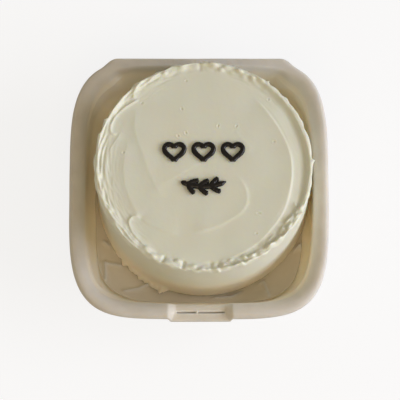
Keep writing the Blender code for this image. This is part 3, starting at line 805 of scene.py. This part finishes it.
def top_relief(plan):
    """Height of the worked cream above the plain top, in mm."""
    relief = sum(stroke_relief(plan, stroke) for stroke in SPATULA_STROKES.values())
    near_rim = np.linalg.norm(plan, axis=1) > RIM_WORK_FROM
    relief[near_rim] += rim_relief(plan[near_rim])
    relief += WAVE_HEIGHT * mottled(plan, np.full(len(plan), 5.0), across=17.0, upwards=1.0)
    for where, distance in BUBBLES:
        apart = np.linalg.norm(plan - polar(where, distance), axis=1) / BUBBLE_RADIUS
        lip = np.exp(-((apart - 1.7) / 0.6) ** 2)
        relief += BUBBLE_LIP * lip - BUBBLE_PIT * np.exp(-apart ** 2)
    return relief


section = cake_half_section()
wrapped = bmesh.new()
bmesh.ops.create_grid(wrapped, x_segments=CAKE_SEGMENTS, y_segments=len(section) - 1, size=1.0)
for vert in wrapped.verts:
    turn = math.pi * (vert.co.x + 1.0)
    radius, height = section[round((vert.co.y + 1.0) / 2.0 * (len(section) - 1))]
    vert.co = (radius * math.cos(turn), radius * math.sin(turn), height)
bmesh.ops.remove_doubles(wrapped, verts=wrapped.verts, dist=1e-6)
bmesh.ops.recalc_face_normals(wrapped, faces=wrapped.faces)
cake = object_from_bmesh("cream_cake", wrapped)

places = mesh_coordinates(cake.data)
plan = places[:, :2] / MM
radius = np.linalg.norm(plan, axis=1)
bearing_deg = np.degrees(np.arctan2(plan[:, 1], plan[:, 0])) % 360.0
below_top = (CAKE_TOP - places[:, 2]) / MM
on_top = (below_top < 4.5) & (radius > 0.5)
height = np.zeros(len(places))
height[on_top] = top_relief(plan[on_top]) * (1.0 - smoothstep(below_top[on_top] / 4.2))

# Pushed outwards are the ruffled edge, the flicks, the bands on the side and the foot's bulges.
over_edge = ramp(radius, start=59.7, run=0.5) * (1.0 - ramp(below_top, start=1.2, run=4.2))
push = over_edge * RUFFLE_REACH * mottled(plan, below_top, across=4.5, upwards=6.0)
for where, reach, half_width in RIM_FLICKS:
    flick = np.exp(-(apart_along_rim(bearing_deg, where) / half_width) ** 2)
    near_top = 1.0 - smoothstep(below_top / 2.5)
    push += reach * flick * ramp(radius, start=58.8, run=1.2) * near_top
on_side = ramp(below_top, start=4.0, run=3.0) * ramp(radius, start=58.0, run=1.5)
push += on_side * BAND_REACH * mottled(plan, below_top, across=40.0, upwards=3.5)
bulge = np.interp(bearing_deg, *np.array(FOOT_BULGE).T, left=0.0, right=0.0)
lumps = 1.0 + FOOT_LUMPINESS * mottled(plan, below_top, across=2.2, upwards=2.0)
low_down = 1.0 - ramp(places[:, 2] / MM, start=2.4, run=4.5)
push += bulge * lumps * low_down * ramp(radius, start=50.0, run=6.0)

outward = plan / np.maximum(radius, 1e-6)[:, None]
places[:, :2] += outward * push[:, None] * MM
places[:, 2] += height * MM
places[:, 0] += CAKE_X
places[:, 1] += CAKE_Y
cake.data.vertices.foreach_set("co", places.ravel())
cake.data.update()
# Painted bounce light: this mask paints the side warmer and lighter towards the foot, standing in for
# light bounced from the box's walls.
store_attribute(cake.data, "foot", 1.0 - ramp(places[:, 2] / MM, start=4.0, run=26.0))

cream = MaterialBench("whipped cream", roughness=0.46, Specular_IOR_Level=0.4,
                      Subsurface_Weight=0.5, Subsurface_Radius=(1.0, 0.8, 0.45),
                      Subsurface_Scale=1.5 * MM)
patches = cream.widen(cream.grain(scale=38.0, detail=3.0), low=0.4, high=0.65)
spread = cream.mix(patches, CREAM, CREAM_WARM)
cream.colour(cream.mix(cream.read("foot"), spread, CREAM_PAINTED_BOUNCE))
cream.bump(cream.grain(scale=420.0, detail=3.0), distance=0.05 * MM)
cream.bump(cream.grain(scale=120.0, detail=2.0, stretch=(1.0, 0.5, 1.0)), distance=0.12 * MM)
cake.data.materials.append(cream.material)
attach(cake, "root")
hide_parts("cake")


# The decoration is piped freehand in black icing through a small round nozzle: an outline heart
# is two strokes from its notch to its point, and the sprig is a stem with six leaves. Each is
# drawn as round lines of changing width, which are then fused and settle flat on the cream.
PIPED_RADIUS = 1.42 * MM
PIPED_SINK = 0.62 * MM
HEART_WIDTH = 11.0 * MM
HEART_SPACING = 16.2 * MM
HEART_ROW_Y = 7.6 * MM
HEART_POINTS = 36
SPRIG_ROW_Y = -10.4 * MM
SPRIG_LENGTH = 25.0 * MM
SPRIG_BOW = 3.0 * MM
STEM_POINTS = 41
LEAF_POINTS = 13
LEAF_CURL = 0.03
LEAF_LENGTH = 6.4 * MM
LEAF_PLACES = (0.16, 0.41, 0.66)
LEAF_LEAN = math.radians(58)
FUSE_VOXEL = 0.2 * MM
SETTLED_SHARE = 0.9
SUNK_BELOW = 0.3 * MM
ICING_WOBBLE = 0.06 * MM
LINE_START = 0.06
LINE_END = 0.08
BEADS = 23.0
ICING = (0.008, 0.006, 0.005)
ICING_PALE = (0.014, 0.011, 0.009)
icing_draw = random.Random(8)


def stroke_width(share, start, end, unevenness):
    """Width along a piped line: rounded ends, and the slight beading of an uneven hand."""
    tip = min(share / LINE_START, 1.0) ** 0.5 * start if share < LINE_START else 1.0
    left = 1.0 - share
    tail = min(left / LINE_END, 1.0) ** 0.5 * end if share > 1.0 - LINE_END else 1.0
    return min(tip, tail, 1.0) * (1.0 + unevenness * math.sin(share * BEADS))


def pipe_line(curve, points, start=1.0, end=0.85):
    """Add one piped line to a curve."""
    line = curve.splines.new("POLY")
    line.points.add(len(points) - 1)
    unevenness = icing_draw.uniform(0.03, 0.07)
    for index, (slot, point) in enumerate(zip(line.points, points)):
        slot.co = (*point, 0.0, 1.0)
        slot.radius = max(0.25, stroke_width(index / (len(points) - 1), start, end, unevenness))


def pipe_motif(name, lines, place):
    """Fuse the lines of one motif and lay it on the cake."""
    curve = bpy.data.curves.new(name, "CURVE")
    curve.dimensions = "3D"
    curve.bevel_depth = PIPED_RADIUS
    curve.bevel_resolution = 5
    curve.use_fill_caps = True
    for points in lines:
        pipe_line(curve, points)
    drawn = bpy.data.objects.new(name, curve)
    bpy.context.scene.collection.objects.link(drawn)
    depsgraph = bpy.context.evaluated_depsgraph_get()
    mesh = bpy.data.meshes.new_from_object(drawn.evaluated_get(depsgraph), depsgraph=depsgraph)
    bpy.data.objects.remove(drawn, do_unlink=True)
    motif = bpy.data.objects.new(name, mesh)
    bpy.context.scene.collection.objects.link(motif)
    fuse = motif.modifiers.new("fuse", "REMESH")
    fuse.mode = "VOXEL"
    fuse.voxel_size = FUSE_VOXEL
    settle = motif.modifiers.new("settle", "SMOOTH")
    settle.factor = 0.5
    settle.iterations = 4
    apply_modifiers(motif)
    flat = mesh_coordinates(motif.data)
    wobble = np.fromiter((noise.noise(Vector(row) * 420.0) for row in flat), float, len(flat))
    settled = np.maximum(flat[:, 2] * SETTLED_SHARE, -PIPED_SINK - SUNK_BELOW)
    flat[:, 2] = settled + ICING_WOBBLE * wobble
    flat += np.array((CAKE_X + place[0], CAKE_Y + place[1], CAKE_TOP + PIPED_SINK))
    motif.data.vertices.foreach_set("co", flat.ravel())
    motif.data.update()
    motif.data.shade_smooth()
    return motif


def heart_point(turn):
    """Point of the usual heart outline, centred."""
    scale = HEART_WIDTH / 32.0
    x = 16.0 * math.sin(turn) ** 3
    y = 13.0 * math.cos(turn) - 5.0 * math.cos(2 * turn) - 2.0 * math.cos(3 * turn)
    return (x * scale, (y - math.cos(4 * turn) + 2.5) * scale)


def sprig_point(share):
    """Point on the sprig's bowed stem."""
    x = SPRIG_LENGTH * (share - 0.5)
    return (x, SPRIG_BOW * (4.0 * share * (share - 1.0) + 0.5))


icing = MaterialBench("black piped icing", roughness=0.25, Specular_IOR_Level=0.35)
icing.colour(icing.mix(icing.grain(scale=300.0, detail=2.0), ICING, ICING_PALE))
icing.bump(icing.grain(scale=500.0, detail=3.0), distance=0.06 * MM)

motifs = {}
for name, column in (("left", -1), ("middle", 0), ("right", 1)):
    halves = []
    for side in (-1.0, 1.0):
        turns = [side * math.pi * (0.02 + 0.98 * i / (HEART_POINTS - 1))
                 for i in range(HEART_POINTS)]
        halves.append([heart_point(turn) for turn in turns])
    motifs["piped_heart_" + name] = (halves, (column * HEART_SPACING, HEART_ROW_Y))
sprig_lines = [[sprig_point(i / (STEM_POINTS - 1)) for i in range(STEM_POINTS)]]
for share in LEAF_PLACES:
    root, ahead = sprig_point(share), sprig_point(share + 0.02)
    heading = math.atan2(ahead[1] - root[1], ahead[0] - root[0])
    for side in (-1.0, 1.0):
        leaf = []
        for i in range(LEAF_POINTS):
            lean = heading + side * LEAF_LEAN - side * LEAF_CURL * i
            reach = LEAF_LENGTH * i / (LEAF_POINTS - 1)
            leaf.append((root[0] + reach * math.cos(lean), root[1] + reach * math.sin(lean)))
        sprig_lines.append(leaf)
motifs["piped_sprig"] = (sprig_lines, (0.0, SPRIG_ROW_Y))
for node, (lines, place) in motifs.items():
    motif = pipe_motif(node.replace("piped", "icing"), lines, place)
    motif.data.materials.append(icing.material)
    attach(motif, "root")
    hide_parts(node)


# The table is a plain pale surface that reads as a bright background and is not part of the cake.
# The light is a large window at the right, slightly to the front, a soft warm lamp above the
# front and a pale room. The camera looks down steeply from the front through a long lens.
TABLE_HALF = 3.0
TABLE_GAP = 0.2 * MM
TABLE_COLOUR = (0.18, 0.18, 0.18)
TABLE_GLOW = 0.80
WINDOW_TURN = math.radians(-8)
WINDOW_RISE = math.radians(24)
WINDOW_DISTANCE = 2.6
WINDOW_WIDTH = 2.6
WINDOW_HEIGHT = 1.2
WINDOW_POWER = 56.0
WINDOW_COLOUR = (0.96, 0.995, 1.16)
LIGHT_TARGET = Vector((0.0, 0.0, 0.03))
LAMP_PLACE = (-0.10, -1.20, 1.33)
LAMP_SIZE = 1.2
LAMP_POWER = 6.2
LAMP_COLOUR = (1.0, 0.78, 0.50)
ROOM_LIGHT = 0.335
ROOM_COLOUR = (1.0, 0.905, 0.75)
CAMERA_DISTANCE = 1.8
CAMERA_RISE = math.radians(74)
CAMERA_TARGET = Vector((0.56 * MM, -7.76 * MM, 33.0 * MM))
PIXELS_PER_METRE = 1793.0
PHOTO_SIZE = 400
SENSOR_WIDTH = 36.0

table_builder = bmesh.new()
bmesh.ops.create_grid(table_builder, x_segments=4, y_segments=4, size=TABLE_HALF)
bmesh.ops.translate(table_builder, verts=table_builder.verts, vec=(0.0, 0.0, -TABLE_GAP))
table = object_from_bmesh("table", table_builder)
pale = MaterialBench("pale table", roughness=0.7, Emission_Strength=TABLE_GLOW)
pale.shader.inputs["Base Color"].default_value = (*TABLE_COLOUR, 1.0)
pale.shader.inputs["Emission Color"].default_value = (1.0, 1.0, 1.0, 1.0)
table.data.materials.append(pale.material)
table.visible_diffuse = False


def add_soft_light(name, place, size, power, colour):
    """Rectangular area light that faces the cake, its size as width and height."""
    light = bpy.data.lights.new(name, "AREA")
    light.shape = "RECTANGLE"
    light.size, light.size_y = size
    light.energy = power
    light.color = colour
    lamp = bpy.data.objects.new(name, light)
    lamp.location = place
    facing = LIGHT_TARGET - Vector(place)
    lamp.rotation_euler = facing.to_track_quat("-Z", "Y").to_euler()
    bpy.context.scene.collection.objects.link(lamp)


window_place = (WINDOW_DISTANCE * math.cos(WINDOW_RISE) * math.cos(WINDOW_TURN),
                WINDOW_DISTANCE * math.cos(WINDOW_RISE) * math.sin(WINDOW_TURN),
                WINDOW_DISTANCE * math.sin(WINDOW_RISE))
add_soft_light("window", window_place, (WINDOW_WIDTH, WINDOW_HEIGHT), WINDOW_POWER, WINDOW_COLOUR)
add_soft_light("lamp", LAMP_PLACE, (LAMP_SIZE, LAMP_SIZE), LAMP_POWER, LAMP_COLOUR)

world = bpy.data.worlds.new("room")
world.use_nodes = True
world.node_tree.nodes["Background"].inputs["Color"].default_value = (*ROOM_COLOUR, 1.0)
world.node_tree.nodes["Background"].inputs["Strength"].default_value = ROOM_LIGHT
bpy.context.scene.world = world
bpy.context.scene.view_settings.view_transform = "Standard"

lens = bpy.data.cameras.new("camera")
lens.sensor_width = SENSOR_WIDTH
lens.lens = PIXELS_PER_METRE * CAMERA_DISTANCE / PHOTO_SIZE * SENSOR_WIDTH
lens.clip_end = 20.0
camera = bpy.data.objects.new("camera", lens)
away = Vector((0.0, -math.cos(CAMERA_RISE), math.sin(CAMERA_RISE)))
camera.location = CAMERA_TARGET + away * CAMERA_DISTANCE
camera.rotation_euler = (math.pi / 2 - CAMERA_RISE, 0.0, 0.0)
bpy.context.scene.collection.objects.link(camera)
bpy.context.scene.camera = camera
